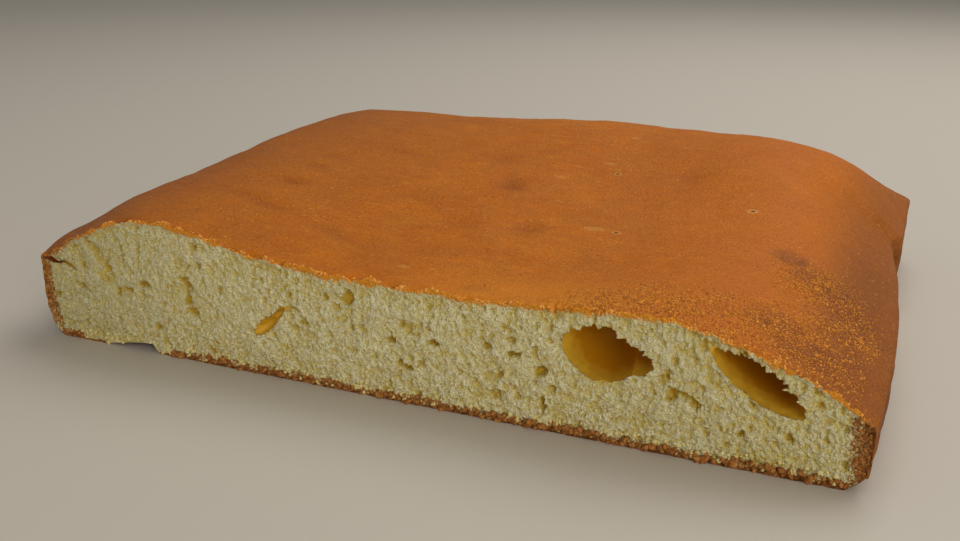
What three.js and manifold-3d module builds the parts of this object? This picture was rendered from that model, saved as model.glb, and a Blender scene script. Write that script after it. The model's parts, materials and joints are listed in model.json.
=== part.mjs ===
// Semolina cake: the half of a flat tray cake that is left after a straight cut, one solid piece.
// Millimetres, +Z up. The cake rests flat on its base at z = 0, the cut face looks toward -Y, and +X runs
// along the cut. While it is shaped, x = 0 is the left foot of the cut, y = 0 the plane of the cut and +y
// goes into the cake. At the end the body is moved so that its origin is the middle of its footprint.
import * as THREE from 'three';
import { mergeVertices } from 'three/addons/utils/BufferGeometryUtils.js';
import Module from 'manifold-3d';

const wasm = await Module();
wasm.setup();

// ---- driving dimensions ------------------------------------------------------------------------------
const LIP_X = -6.2;               // the left rim stands out past the foot of the cut
const SIDE_X = 264.4;             // the right side at the cut
const DEPTH = 223;                // from the cut to the back side
const FOOT_INSET = 6;             // how far the foot of a side stands in from its rim
const FOOT_SHARPNESS = 6;         // higher: a tighter round at the foot
const CORNER_LEFT = 20;           // plan radius of the back left corner
const CORNER_RIGHT = 16;          // plan radius of the back right corner
const SLAB = 36;                  // thickness of the crumb before the swellings are added

// rim height of each side, where the crust turns from the top into the side
const RIM = { leftCut: 27.8, leftRest: 33.3, leftRise: 20, rightCut: 18.8, rightBack: 26.5, back: 33 };
// the back rim is lower toward its right end: where that starts, how far it runs and how much it loses
const BACK_DROP = { start: 160, run: 90, loss: 7 };
// width of the rounded shoulder between the rim and the crown, and how full it is
const SHOULDER = { leftCut: 43, leftRest: 23, leftRun: 30, rightCut: 56, rightBack: 33, back: 35 };
const FULLNESS = { left: 2, right: 2.2, back: 2.2 };

// swellings of the crown: centre, height and half widths
const SWELLINGS = [
  { x: 40, y: 23, height: 8.5, across: 38, along: 74 },      // high left end of the cut
  { x: 203, y: 0, height: 2.8, across: 26, along: 63 },      // over the two large holes
  { x: 20, y: 158, height: 16, across: 99, along: 108 },     // left half, toward the back
  { x: 148, y: 194, height: 14, across: 69, along: 60 },     // back, middle
  { x: 218, y: 162, height: 11, across: 41, along: 70 },     // back, right
  { x: 125, y: 100, height: 3, across: 45, along: 45 },      // middle of the crown
];

// the lining's fold in the right side: the side draws in slowly and steps out again at the fold
const FOLD = { start: 92, at: 151, step: 5, width: 4, left: 1.5 };
const SIDE_SWELL = { height: 1.8, length: 95 };   // between the cut and the place where the side draws in
// the lining's pleat in the back right corner, as an angle of the corner's round
const PLEAT = { angle: 0.62, depth: 0.14, width: 0.13 };
// the hollow that a crease of the lining left in the underside at the cut: it rises slowly from the left and
// ends in a steep step on the right
const CREASE = { x: 32.5, width: 18, height: 3, length: 10, lean: 1.6 };

// bubbles opened by the cut: place on the cut, half length, half height, depth, tilt in degrees, taper
const BUBBLES = [
  { x: 194.2, z: 25.8, long: 12.2, high: 7.8, deep: 20, tilt: -14, taper: 0.3, fine: 22 },
  { x: 203.8, z: 25.3, long: 4.2, high: 4, deep: 8, tilt: 0, taper: 0, fine: 12 },
  { x: 235.2, z: 24.6, long: 14, high: 4.5, deep: 17, tilt: -31, taper: 0.25, fine: 20 },
  { x: 86.8, z: 18.6, long: 8, high: 1.7, deep: 6, tilt: 41, taper: 0.2, fine: 10 },
  { x: 213.4, z: 16.8, long: 3.2, high: 1.8, deep: 5, tilt: 80, taper: 0.2, fine: 8 },
  { x: 219.4, z: 15.4, long: 3.1, high: 1.9, deep: 4.5, tilt: 60, taper: 0.2, fine: 8 },
  { x: 114.5, z: 30.2, long: 2.7, high: 2.3, deep: 4, tilt: 60, taper: 0, fine: 8 },
  { x: 176.2, z: 17.3, long: 2.5, high: 2, deep: 3.5, tilt: 40, taper: 0, fine: 8 },
];

// how many faces: across, into the depth, up the sides
const ACROSS = 35;
const INTO = 29;
const UP = 6;
const EDGE_CROWDING = 0.45;       // the faces are narrower near the sides than in the middle

// ---- the rounded form ----------------------------------------------------------------------------------
const clamp01 = (t) => Math.min(Math.max(t, 0), 1);
const smooth = (t) => clamp01(t) ** 2 * (3 - 2 * clamp01(t));
const mix = (a, b, t) => a + (b - a) * t;
const bell = (t) => Math.exp(-t * t);
const shoulder = (distance, width, fullness) => 1 - (1 - clamp01(distance / width)) ** fullness;

// right side of the plan at the depth y, at its rim
function rightSide(y) {
  const swell = SIDE_SWELL.height * Math.sin(Math.PI * clamp01(y / SIDE_SWELL.length));
  const drawnIn = FOLD.step * smooth((y - FOLD.start) / (FOLD.at - FOLD.start));
  const steppedOut = (FOLD.step - FOLD.left) * smooth((y - FOLD.at) / FOLD.width);
  return SIDE_X + swell - drawnIn + steppedOut;
}

// height of the crust's top over the point x, y
function crown(x, y) {
  const back = clamp01(y / DEPTH);
  const fromLeft = Math.max(x - LIP_X, 0);
  const fromRight = Math.max(rightSide(y) - x, 0);
  const fromBack = Math.max(DEPTH - y, 0);
  const rise = 1 - (1 - clamp01(y / RIM.leftRise)) ** 2;
  const rimLeft = mix(RIM.leftCut, RIM.leftRest, rise);
  const rimRight = mix(RIM.rightCut, RIM.rightBack, back);
  const near = [fromLeft, fromRight, fromBack].map((d) => 1 / (d + 1) ** 2);
  const total = near[0] + near[1] + near[2];
  const rimBack = RIM.back - BACK_DROP.loss * smooth((x - BACK_DROP.start) / BACK_DROP.run);
  const rim = (near[0] * rimLeft + near[1] * rimRight + near[2] * rimBack) / total;
  let top = SLAB;
  for (const s of SWELLINGS) {
    top += s.height * bell((x - s.x) / s.across) * bell((y - s.y) / s.along);
  }
  const wideLeft = mix(SHOULDER.leftCut, SHOULDER.leftRest, smooth(y / SHOULDER.leftRun));
  const wideRight = mix(SHOULDER.rightCut, SHOULDER.rightBack, back);
  const left = shoulder(fromLeft, wideLeft, FULLNESS.left);
  const right = shoulder(fromRight, wideRight, FULLNESS.right);
  const rear = shoulder(fromBack, SHOULDER.back, FULLNESS.back);
  return rim + (top - rim) * left * right * rear;
}

// turns the square end of the plan into a rounded corner; side is -1 on the left and 1 on the right
function roundCorner(x, y, edgeX, edgeY, radius, side) {
  const a = ((x - edgeX) * side + radius) / radius;
  const b = (y - edgeY + radius) / radius;
  if (a <= 0 || b <= 0) return [x, y];
  let ra = a * Math.sqrt(Math.max(1 - (b * b) / 2, 0));
  let rb = b * Math.sqrt(Math.max(1 - (a * a) / 2, 0));
  if (side > 0) {
    const turn = (Math.atan2(rb, ra) - PLEAT.angle) / PLEAT.width;
    const pleat = 1 - PLEAT.depth * bell(turn) * Math.hypot(ra, rb) ** 4;
    ra *= pleat;
    rb *= pleat;
  }
  return [edgeX + side * (ra - 1) * radius, edgeY + (rb - 1) * radius];
}

// where a point of the unit box goes: u across, v into the depth, w up, all from 0 to 1
function place(u, v, w) {
  const crowd = (t) => t - (EDGE_CROWDING * Math.sin(2 * Math.PI * t)) / (2 * Math.PI);
  const lift = w ** 1.6;
  const inset = FOOT_INSET * (1 - lift) ** FOOT_SHARPNESS;
  const backEdge = DEPTH - inset;
  const y = v * backEdge;
  const left = LIP_X + inset;
  const right = rightSide(y) - inset;
  const x = mix(left, right, crowd(u));
  const z = lift * crown(x, y);
  const half = (left + right) / 2;
  const [px, py] = x < half
    ? roundCorner(x, y, left, backEdge, CORNER_LEFT, -1)
    : roundCorner(x, y, right, backEdge, CORNER_RIGHT, 1);
  return [px, py, z];
}

function plainBody() {
  const box = new THREE.BoxGeometry(1, 1, 1, ACROSS, INTO, UP);
  box.deleteAttribute('normal');
  box.deleteAttribute('uv');
  const body = mergeVertices(box);
  const p = body.attributes.position;
  for (let i = 0; i < p.count; i++) {
    p.setXYZ(i, ...place(p.getX(i) + 0.5, p.getY(i) + 0.5, p.getZ(i) + 0.5));
  }
  return body;
}

// ---- what is taken out of it -----------------------------------------------------------------------------
// a bubble is a smooth egg, longer on one side where it tapers, centred on the plane of the cut
function bubble({ x, z, long, high, deep, tilt, taper, fine }) {
  const egg = new THREE.SphereGeometry(1, fine, Math.round(fine * 0.7));
  egg.deleteAttribute('normal');
  egg.deleteAttribute('uv');
  const shape = mergeVertices(egg, 1e-5);
  const p = shape.attributes.position;
  for (let i = 0; i < p.count; i++) {
    const along = p.getX(i);
    const slim = 1 - taper * along * along;
    p.setXYZ(i, along * long, p.getY(i) * deep * slim, p.getZ(i) * high * slim);
  }
  shape.rotateY(THREE.MathUtils.degToRad(-tilt));
  shape.translate(x, 0, z);
  return shape;
}

// the crease under the cake: a low egg on the table whose top leans to the right
function crease() {
  const egg = new THREE.SphereGeometry(1, 18, 12);
  egg.deleteAttribute('normal');
  egg.deleteAttribute('uv');
  const shape = mergeVertices(egg, 1e-5);
  shape.scale(CREASE.width / 2, CREASE.length, CREASE.height);
  const p = shape.attributes.position;
  for (let i = 0; i < p.count; i++) {
    p.setX(i, CREASE.x + p.getX(i) + CREASE.lean * p.getZ(i));
  }
  return shape;
}

function toSolid(geometry) {
  return new wasm.Manifold(new wasm.Mesh({
    numProp: 3,
    vertProperties: new Float32Array(geometry.attributes.position.array),
    triVerts: new Uint32Array(geometry.index.array),
  }));
}

function toGeometry(solid) {
  const mesh = solid.getMesh();
  const geometry = new THREE.BufferGeometry();
  geometry.setAttribute('position', new THREE.BufferAttribute(new Float32Array(mesh.vertProperties), 3));
  geometry.setIndex(new THREE.BufferAttribute(new Uint32Array(mesh.triVerts), 1));
  return geometry;
}

function cakeGeometry() {
  let solid = toSolid(plainBody());
  for (const hole of BUBBLES) {
    solid = solid.subtract(toSolid(bubble(hole)));
  }
  solid = solid.subtract(toSolid(crease()));
  const geometry = toGeometry(solid);
  geometry.computeBoundingBox();
  const middle = geometry.boundingBox.getCenter(new THREE.Vector3());
  geometry.translate(-middle.x, -middle.y, 0);
  return geometry;
}

// ---- the part --------------------------------------------------------------------------------------------
const bakedCrust = new THREE.MeshStandardMaterial({ color: 0xb8722f, roughness: 0.5, metalness: 0 });

const part = new THREE.Group();
const cake = new THREE.Mesh(cakeGeometry(), bakedCrust);
cake.name = 'cake';
part.add(cake);

export default part;
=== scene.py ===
import json
import math
import random

import bmesh
import bpy
import numpy as np
from mathutils import Matrix, Vector, noise

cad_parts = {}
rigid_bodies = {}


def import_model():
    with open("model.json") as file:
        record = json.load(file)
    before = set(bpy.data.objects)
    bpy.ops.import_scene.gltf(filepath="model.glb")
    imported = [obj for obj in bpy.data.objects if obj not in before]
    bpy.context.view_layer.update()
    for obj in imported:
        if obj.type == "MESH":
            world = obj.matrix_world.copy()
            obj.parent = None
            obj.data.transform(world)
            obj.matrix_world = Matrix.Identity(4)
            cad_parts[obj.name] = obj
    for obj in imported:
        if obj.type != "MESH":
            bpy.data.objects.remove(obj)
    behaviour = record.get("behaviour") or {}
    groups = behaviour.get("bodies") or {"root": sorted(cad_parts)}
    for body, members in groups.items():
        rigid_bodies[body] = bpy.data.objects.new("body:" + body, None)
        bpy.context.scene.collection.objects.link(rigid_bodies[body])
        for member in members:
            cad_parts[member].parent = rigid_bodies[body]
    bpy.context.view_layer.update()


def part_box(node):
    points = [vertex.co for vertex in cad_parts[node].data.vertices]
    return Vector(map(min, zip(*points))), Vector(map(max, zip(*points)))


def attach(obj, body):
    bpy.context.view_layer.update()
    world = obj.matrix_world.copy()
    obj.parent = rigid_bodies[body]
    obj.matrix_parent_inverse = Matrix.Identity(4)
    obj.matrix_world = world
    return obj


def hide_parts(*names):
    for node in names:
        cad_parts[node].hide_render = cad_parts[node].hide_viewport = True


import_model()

# ---- sizes -------------------------------------------------------------------
# Places on the cake are in millimetres from the left foot of the cut: x along the cut, y into the cake, z up.
MM = 0.001
CAD_LOW, CAD_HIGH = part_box("cake")
LIP_X = -6.2                          # the left rim, past the foot of the cut
ORIGIN = Vector((CAD_LOW[0] - LIP_X * MM, CAD_LOW[1], 0.0))
DEPTH = (CAD_HIGH[1] - CAD_LOW[1]) / MM       # from the cut to the back side
SIDE_X = 264.4                        # right side at the cut
SLAB = 36.0                           # thickness before the swellings are added
FOOT_INSET = 6.0                      # how far the foot of a side stands in from its rim
FOOT_SHARPNESS = 6.0                  # higher: a tighter round at the foot
CORNER_LEFT, CORNER_RIGHT = 20.0, 16.0

# heights of the rims, widths and fullness of the rounded shoulders above them
RIM = dict(left_cut=27.8, left_rest=33.3, left_rise=20.0, right_cut=18.8, right_back=26.5, back=33.0)
SHOULDER = dict(left_cut=43.0, left_rest=23.0, left_run=30.0, right_cut=56.0, right_back=33.0, back=35.0)
FULL_LEFT, FULL_RIGHT, FULL_BACK = 2.0, 2.2, 2.2
# the lining's fold in the right side, the side's swell before it, and the pleat in the back right corner
FOLD = dict(start=92.0, at=151.0, step=5.0, width=4.0, left=1.5)
SIDE_SWELL = dict(height=1.8, length=95.0)
PLEAT = dict(angle=0.62, depth=0.14, width=0.13)
BACK_DROP = dict(start=160.0, run=90.0, loss=7.0)     # the back rim is lower toward its right end

# swellings of the crown: x, y, height, half width across, half width along
SWELLINGS = (
    (40, 23, 8.5, 38, 74),
    (203, 0, 2.8, 26, 63),
    (20, 158, 16, 99, 108),
    (148, 194, 14, 69, 60),
    (218, 162, 11, 41, 70),
    (125, 100, 3, 45, 45),
)

# bubbles opened by the cut: x, z, half length, half height, depth, tilt in degrees, taper, ragged rim, faces
BUBBLES = (
    (192.9, 25.6, 10.9, 8.1, 20.0, -15, 0.30, 2.1, 128),
    (201.6, 25.0, 6.5, 4.2, 12.0, -4, 0.10, 1.8, 96),
    (235.2, 24.5, 14.2, 4.6, 17.0, -31, 0.25, 2.3, 128),
    (85.0, 16.8, 5.6, 2.0, 4.5, 39, 0.20, 2.0, 80),
    (88.6, 20.4, 4.4, 1.5, 4.0, 44, 0.20, 1.8, 64),
    (92.4, 23.4, 2.4, 0.5, 2.0, -12, 0.20, 0.6, 48),
    (-1.6, 27.2, 4.2, 1.0, 4.0, -8, 0.30, 0.6, 48),
    (4.9, 26.5, 5.0, 0.7, 3.0, -22, 0.60, 0.6, 48),
)
RAGGED_SIZE, RAGGED_REACH = 1.65, 2.0      # how wide the rags of a bubble's rim are, and how far in they go
RAGGED_BELOW = 0.34                        # rags at a bubble's foot, as a share of those at its top
FINER = dict(size=2.3, share=0.5)          # a second, finer layer of rags
MERGE = 0.02                               # points closer than this are one after the cuts
# the lifted lower edge: step is the width of its steep end, fade the height at which it is no longer felt
CREASE = dict(x=32.5, width=18.0, height=3.0, length=10.0, step=3.0, step_run=3.5, fade=9.0)

# further holes in the cut: x, z, half length, half height, tilt in degrees, depth for each mm of length
HOLES = (
    (129.0, 19.0, 1.7, 1.2, 20, 1.2), (134.6, 11.3, 1.9, 1.1, 0, 1.3), (131.8, 12.4, 1.7, 1.5, 60, 0.9),
    (142.8, 20.4, 2.0, 0.9, 0, 1.2), (139.1, 13.1, 1.7, 1.1, 15, 0.8), (112.8, 23.4, 1.5, 1.3, 30, 0.8),
    (135.1, 23.3, 1.9, 1.6, 70, 0.6), (160.0, 22.4, 1.6, 1.3, 20, 0.9), (167.3, 25.4, 1.6, 1.4, 50, 0.9),
    (168.2, 21.3, 2.6, 1.0, 10, 1.0), (177.0, 7.7, 3.2, 0.8, 95, 0.9), (10.0, 19.5, 2.9, 1.0, -25, 0.9),
    (19.5, 30.0, 9.0, 2.0, -50, 0.8), (54.4, 26.8, 2.2, 1.2, 80, 1.0), (98.8, 19.8, 1.8, 1.5, 40, 0.6),
    (116.5, 13.5, 1.3, 1.1, 0, 0.8), (233.8, 18.5, 1.2, 1.1, 0, 1.1), (243.9, 11.0, 2.0, 1.1, -40, 0.8),
    (255.9, 16.6, 2.8, 1.5, -20, 0.4), (231.7, 9.7, 1.4, 0.8, 10, 1.3), (233.1, 7.8, 1.1, 0.6, -20, 1.2),
    (213.0, 17.2, 2.7, 1.5, 78, 0.95), (216.2, 17.9, 2.4, 1.0, -15, 0.75), (219.5, 16.0, 2.2, 1.4, -65, 1.0),
    (114.5, 30.2, 2.7, 2.3, 60, 0.90), (176.2, 17.3, 2.4, 1.6, 40, 1.00), (55.4, 25.9, 3.7, 1.5, -22, 0.80),
    (54.5, 20.2, 1.9, 1.4, 30, 1.0), (56.4, 17.0, 2.5, 1.3, -20, 1.1), (37.6, 23.6, 3.1, 1.2, 8, 0.85),
    (236.5, 14.5, 5.5, 2.2, -25, 0.25), (191.0, 14.5, 4.5, 2.0, 10, 0.25), (222.5, 24.5, 4.0, 2.2, -40, 0.3),
    (95.4, 24.0, 2.2, 0.5, -20, 0.9), (53.3, 33.2, 1.3, 0.9, 0, 0.9), (30.4, 20.6, 2.4, 0.5, -5, 0.9),
    (12.9, 18.3, 1.6, 0.5, -40, 1.2), (18.8, 28.6, 7.0, 0.6, -50, 0.5), (20.5, 24.2, 3.4, 2.2, -30, 0.4),
    (211.0, 22.0, 2.6, 1.6, 70, 0.5), (52.0, 33.0, 3.0, 1.6, 70, 0.4), (54.8, 22.6, 5.6, 1.2, -80, 0.5),
    (36.0, 33.0, 5.0, 1.0, 85, 0.5), (29.0, 34.0, 4.0, 0.9, 95, 0.5),
)
# pores between them: how many, usual radius, spread of the sizes and largest radius
PORES = dict(many=2600, radius=0.42, spread=0.48, largest=1.7)
# a pore or hole: how far past its length it reaches, how ragged its rim is, and the length past which it gets
# no deeper
PORE_REACH, PORE_RAGGED, PORE_DEEPEST = 1.6, 0.9, 2.4
PORE_CLEAR = dict(top=0.4, top_run=1.2, base=0.4, base_run=1.5)     # no pore opens at the edges of the cut

# pale crumbs on the cut: x from and to, z from and to, radius from and to, how many
PALE_CRUMBS = ((3, 257, 0.4, 4.0, 0.25, 0.75, 420), (-2, 258, 3.0, 44.0, 0.20, 0.45, 900))
FOOT_CRUMBS, END_CRUMBS, EDGE_CRUMBS, GRAINS = 700, 300, 850, 5000
BARE_FOOT = (9, 47)                        # where the foot of the cut has no browned crumbs

# reliefs of the crust: name, size of the clouds in metres, layers, height in mm, where, middle
CRUST_RELIEFS = (
    ("swells", 0.030, 1, 1.3, "top", 0.5), ("ripples", 0.009, 2, 0.55, "top", 0.5),
    ("wrinkles", 0.0042, 1, 0.22, "top", 0.5), ("lining", 0.012, 2, 1.5, "side", 0.6),
)
# reliefs of the crumb: name, kind, size in metres, settings, height in mm, where, direction, middle
CRUMB_RELIEFS = (
    ("hollows", "CLOUDS", 0.009, dict(noise_depth=2), 2.2, "hollows", "Y", 0.35),
    ("clumps", "VORONOI", 0.0030, {}, 0.75, "open", "Y", 0.2),
    ("granules", "VORONOI", 0.0013, {}, 0.95, "open", "Y", 0.3),
    ("rough", "CLOUDS", 0.0008, dict(noise_depth=1), 0.55, "open", "NORMAL", 0.5),
)
# the torn edge of the skin: how far in and how low it goes, and its coarse and medium waves
TEAR = dict(deep=4.0, lowest=3.0, coarse=2.0, coarse_size=5.5, medium=1.1, medium_size=1.9, sunk=0.3)
STEP_BACK = dict(mean=0.12, wave=0.3, size=1.9)      # how the same edge steps back from the cut
# upright strands of crumb under the crown of the right half
STRANDS = dict(below=9.0, run=7.0, start=150.0, start_run=40.0, deep=1.3, wide=0.95, tall=4.5, more=0.15)
# the relief of the crumb is weaker close under the skin, and fades out on a bubble's wall
UNDER_SKIN, ON_WALL = dict(start=0.3, run=2.2, least=0.15), dict(start=0.3, run=1.8, least=0.08)
# which normals count as the top and as the side of the crust
UPWARD, SIDEWAYS = dict(start=0.2, run=0.5), dict(end=0.45, run=0.3)
SIDE_START = 6.0                           # the lining's wrinkles grow over this depth behind the cut

# how sunk a point counts: full at this depth, a share for each mm behind its neighbours, their net's cell
SUNK = dict(full=5.0, share=0.22, cell=1.6)
# how deep in a bubble its smooth wall begins, and where it is painted dark as shade; how deep a pore counts
# as one
WALL = dict(start=0.05, run=0.9, dark=2.0, dark_run=10.0)
HOLE = dict(start=2.0, run=2.0, share=0.7)
# the base is hardly browned between the left rounding and the far side of the crease
PALE_BASE = dict(start=6.0, run=6.0, end=54.0, end_run=12.0, share=0.8)
# the cut edge of the skin is golden above from_z, and less so at the left end
UPPER_SKIN = dict(from_z=9.0, run=4.0, left=0.25, from_x=4.0, x_run=20.0)
# the crown browns toward its rims; right and back say how much narrower the browned strip is there
BROWN_RIM = dict(start=2.0, run=52.0, power=1.3, share=0.9, right=1.6, back=1.3)
# the flanks: where the normal has turned to the side, fully so once the skin has dropped this far
FLANK = dict(turned=0.55, turn_run=0.5, drop=14.0, share=0.35)
DEEP_DIMPLE = 1.2                          # a dimple this deep has its full tint

# dimples of the crown: x, y, half width, half length, depth, turn in degrees
DIMPLES = (
    (56, 61, 5.5, 3.6, 1.3, 10), (54, 81, 5.0, 2.6, 0.9, 5), (53, 96, 6.5, 2.4, 0.7, 0),
    (58, 37, 13, 3.2, 0.9, -8), (126, 102, 5.0, 6.5, 1.5, 20), (147, 65, 6.0, 5.0, 1.2, 15),
    (152, 9, 6.5, 2.2, 0.6, 0), (97, 75, 8.0, 4.0, 0.5, 20), (90, 31, 9.0, 2.6, 0.6, -15),
    (124, 60, 7.0, 3.5, 0.5, 10), (186, 132, 6.0, 6.0, 0.6, 0), (111, 128, 5.0, 5.0, 0.7, 0),
    (72, 118, 7.0, 4.0, 0.6, 10), (176, 46, 8.0, 4.0, 0.4, 0), (80, 54, 6.0, 3.5, 0.5, 20),
)
# where the skin is darker, grainy, flecked or burst: x, y, radius, soft border
DARK_PATCHES = (
    (233, 72, 2.5, 7), (240, 64, 3, 7), (246, 57, 3, 7), (251, 51, 2, 6), (236, 22, 3, 9), (243, 13, 4, 8),
)
GRAINY_ZONE = (
    (190, 4, 3, 14), (207, 10, 6, 18), (225, 12, 8, 20), (240, 16, 8, 18), (244, 58, 6, 14), (252, 40, 3, 16),
)
PALE_FLECKS = (
    (153, 139, 0.9, 0.8), (155, 169, 0.7, 0.8), (168, 73, 1.4, 1.2), (126, 16, 0.7, 0.8),
    (140, 118, 0.6, 0.9),
)
BURSTS = ((215, 103, 1.1, 1.0), (176, 72, 0.8, 0.9), (159, 130, 0.8, 0.9))
BURST_SHAPE, BURST_HOLE_SHADE = (0.8, 1), (0.45, 0.25)

# where a tint begins and where it is full, in millimetres along, into or up the cake
ZONE = dict(
    left_end=(125, 5), right_rim=(232, 262), right_front=(190, 90), sunny=(165, 225), burnt_and_shaded=(240, 260),
    burnt_and_shaded_front=(150, 70), back_edge=(214, 221), strip=(38, 6), strip_left=(112, 165), strip_right=(210, 180),
    painted_shade_left=(75, 0), painted_shade_right=(165, 235), gap_shade=(4.0, 26.0), slit=(7.0, 0.0), dark_band=(120, 200),
)
# mottled patterns: size in millimetres, detail, spread
CRUST_PATTERN = dict(
    broad=(36.0, 3.0, 0.14), patch=(11.0, 3.0, 0.18), fine=(1.3, 3.0, 0.25), streak=(4.5, 5.0, 0.14),
    pale_streak=(3.1, 4.0, 0.5), freckle=(1.0, 1.0, 0.5), broken=(3.0, 4.0, 0.2), uneven=(6.0, 4.0, 0.22),
)
CRUMB_PATTERN = dict(
    broad=(8.0, 3.0, 0.2), blots=(3.2, 2.0, 0.12), small=(1.3, 3.0, 0.12), rosy=(2.6, 1.0, 0.10),
    highlight_tips=(0.8, 2.0, 0.10), holes=(1.0, 2.0, 0.5),
)
LOOSE_PATTERN = (1.1, 3.0, 0.2)
CRUST_GRAIN, CRUMB_GRAIN, LOOSE_GRAIN = 0.6, 0.65, 0.4
STREAK_SHAPE, GRAIN_SHAPE = (0.45, 1, 1), (1, 0.6, 1)

SKIN = dict(top=1.4, base=2.0, left=3.4, right=5.2)   # how thick the browned skin shows on the cut
BASE_KEPT = 0.06                                      # share of the base's inner faces that is kept

# ---- colours, linear ---------------------------------------------------------
GOLD = (0.68, 0.190, 0.005, 1)
AMBER = (0.54, 0.134, 0.004, 1)
TAN = (0.53, 0.180, 0.026, 1)
HONEY = (0.90, 0.32, 0.022, 1)
BROWN = (0.34, 0.102, 0.016, 1)
CHESTNUT = (0.19, 0.050, 0.010, 1)
SIDE_BROWN = (0.14, 0.042, 0.010, 1)
SIDE_LIGHT = (0.34, 0.13, 0.033, 1)
PALE = (0.80, 0.42, 0.11, 1)
PAINTED_HOLE_SHADE = (0.08, 0.02, 0.004, 1)
GLINT = (0.95, 0.39, 0.050, 1)
SUNNY = (0.60, 0.148, 0.003, 1)
REDDISH = (0.26, 0.058, 0.010, 1)
MILK = (0.99, 0.94, 0.62, 1)
CREAM = (0.86, 0.76, 0.37, 1)
STRAW = (0.76, 0.60, 0.18, 1)
OLIVE = (0.55, 0.350, 0.035, 1)
SHADED_OCHRE = (0.49, 0.210, 0.004, 1)
PIT = (0.74, 0.45, 0.036, 1)
ROSE = (0.88, 0.70, 0.46, 1)
# a darker cream, painted as shade at both ends of the cut
PAINTED_SHADE = (0.56, 0.50, 0.25, 1)
GOLDEN = (0.95, 0.48, 0.110, 1)
RUST = (0.30, 0.060, 0.010, 1)
BAND_DARK = (0.23, 0.070, 0.012, 1)
BAND_LIGHT = (0.64, 0.29, 0.070, 1)
BAND_GOLD = (0.95, 0.36, 0.026, 1)
LOOSE_BROWN = (0.57, 0.25, 0.060, 1)
FLOOR_COLOUR = (0.62, 0.56, 0.47, 1)

# the mesh: columns across, rows into the depth, steps up the sides, and the rows that are refined at the cut
ACROSS, INTO, UP = 168, 84, 23
FINE_ROWS = (3, 1)
CROWDING = 0.12                       # the columns are a little narrower toward the two sides
STEP_GROWTH = 1.3                     # above 1: the steps up the sides are lower toward the foot
WEIGHT_STEPS = 50                     # weights are rounded to this many steps

# ---- eye, lights and floor ---------------------------------------------------
FOCAL_PX, PICTURE_WIDTH = 1025.0, 960
EYE_PLACE = (266.8, -245.2, 134.2)
DOWN, TURN_LEFT = 18.4, 23.86
FILM = 36.0
# name, place and size in metres, power in watts, colour
LIGHTS = (
    ("overhead", (0.38, 0.65, 1.15), (1.3, 1.0), 10.4, (1.0, 0.98, 0.95)),
    ("room", (0.80, -1.00, 0.5), (0.8, 0.6), 6.2, (1.0, 0.98, 0.94)),
)
ROOM_COLOUR, ROOM_STRENGTH = (0.98, 0.97, 0.95, 1), 0.24
FLOOR_SIZE = 60


# ---- the rounded form --------------------------------------------------------
def clamp01(t):
    return np.clip(t, 0.0, 1.0)


def smooth(t):
    t = clamp01(t)
    return t * t * (3 - 2 * t)


def shoulder(distance, width, fullness):
    return 1 - (1 - clamp01(distance / width)) ** fullness


def right_side(y):
    swell = SIDE_SWELL["height"] * np.sin(np.pi * clamp01(y / SIDE_SWELL["length"]))
    drawn_in = FOLD["step"] * smooth((y - FOLD["start"]) / (FOLD["at"] - FOLD["start"]))
    stepped_out = (FOLD["step"] - FOLD["left"]) * smooth((y - FOLD["at"]) / FOLD["width"])
    return SIDE_X + swell - drawn_in + stepped_out


def crown(x, y):
    """Height of the crust's top over x, y, all in millimetres."""
    back = clamp01(y / DEPTH)
    from_left = np.maximum(x - LIP_X, 0)
    from_right = np.maximum(right_side(y) - x, 0)
    from_back = np.maximum(DEPTH - y, 0)
    rise = 1 - (1 - clamp01(y / RIM["left_rise"])) ** 2
    rim_left = RIM["left_cut"] + (RIM["left_rest"] - RIM["left_cut"]) * rise
    rim_right = RIM["right_cut"] + (RIM["right_back"] - RIM["right_cut"]) * back
    near = [1 / (d + 1) ** 2 for d in (from_left, from_right, from_back)]
    rim_back = RIM["back"] - BACK_DROP["loss"] * smooth((x - BACK_DROP["start"]) / BACK_DROP["run"])
    rim = (near[0] * rim_left + near[1] * rim_right + near[2] * rim_back) / sum(near)
    top = SLAB + sum(
        h * np.exp(-(((x - cx) / across) ** 2) - ((y - cy) / along) ** 2)
        for cx, cy, h, across, along in SWELLINGS
    )
    run = smooth(y / SHOULDER["left_run"])
    wide_left = SHOULDER["left_cut"] + (SHOULDER["left_rest"] - SHOULDER["left_cut"]) * run
    wide_right = SHOULDER["right_cut"] + (SHOULDER["right_back"] - SHOULDER["right_cut"]) * back
    fall = (
        shoulder(from_left, wide_left, FULL_LEFT)
        * shoulder(from_right, wide_right, FULL_RIGHT)
        * shoulder(from_back, SHOULDER["back"], FULL_BACK)
    )
    return rim + (top - rim) * fall


def cut_top(x):
    """Height of the crown's edge on the cut."""
    return crown(np.asarray(x), 0.0)


def round_corner(x, y, edge_x, edge_y, radius, side):
    """The square end of the plan becomes a rounded corner; side is -1 on the left, 1 on the right."""
    a = ((x - edge_x) * side + radius) / radius
    b = (y - edge_y + radius) / radius
    inside = (a > 0) & (b > 0)
    ra = a * np.sqrt(np.maximum(1 - b * b / 2, 0))
    rb = b * np.sqrt(np.maximum(1 - a * a / 2, 0))
    if side > 0:
        turn = (np.arctan2(rb, ra) - PLEAT["angle"]) / PLEAT["width"]
        pleat = 1 - PLEAT["depth"] * np.exp(-turn * turn) * np.hypot(ra, rb) ** 4
        ra, rb = ra * pleat, rb * pleat
    return (
        np.where(inside, edge_x + side * (ra - 1) * radius, x),
        np.where(inside, edge_y + (rb - 1) * radius, y),
    )


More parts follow.
